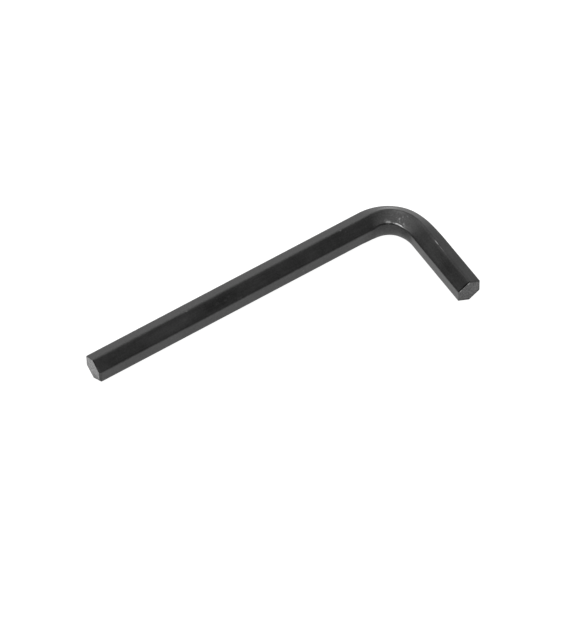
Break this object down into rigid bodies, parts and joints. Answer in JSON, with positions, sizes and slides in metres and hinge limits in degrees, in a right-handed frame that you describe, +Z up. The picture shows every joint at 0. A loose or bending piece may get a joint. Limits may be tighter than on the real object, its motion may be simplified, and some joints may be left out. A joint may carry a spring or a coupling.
{
  "type": "hex key",
  "caption": "L-shaped key of black hexagonal steel bar, with a long and a short arm, that turns socket screws.",
  "frame": {"origin": "middle of the bounding box in plan, at the level surface that the key lies on", "axes": "+X along the long arm from its tip to the bend, the short arm points to -Y, +Z up; the plane of the bend is level"},
  "size_m": [0.086, 0.0316, 0.0068],
  "materials": {
    "black_oxide_steel": "black oxide on hardened steel, satin, thinly oiled, rubbed on the bend's edges"
  },
  "bodies": {
    "root": {"hex_key": "black_oxide_steel"}
  },
  "joints": []
}
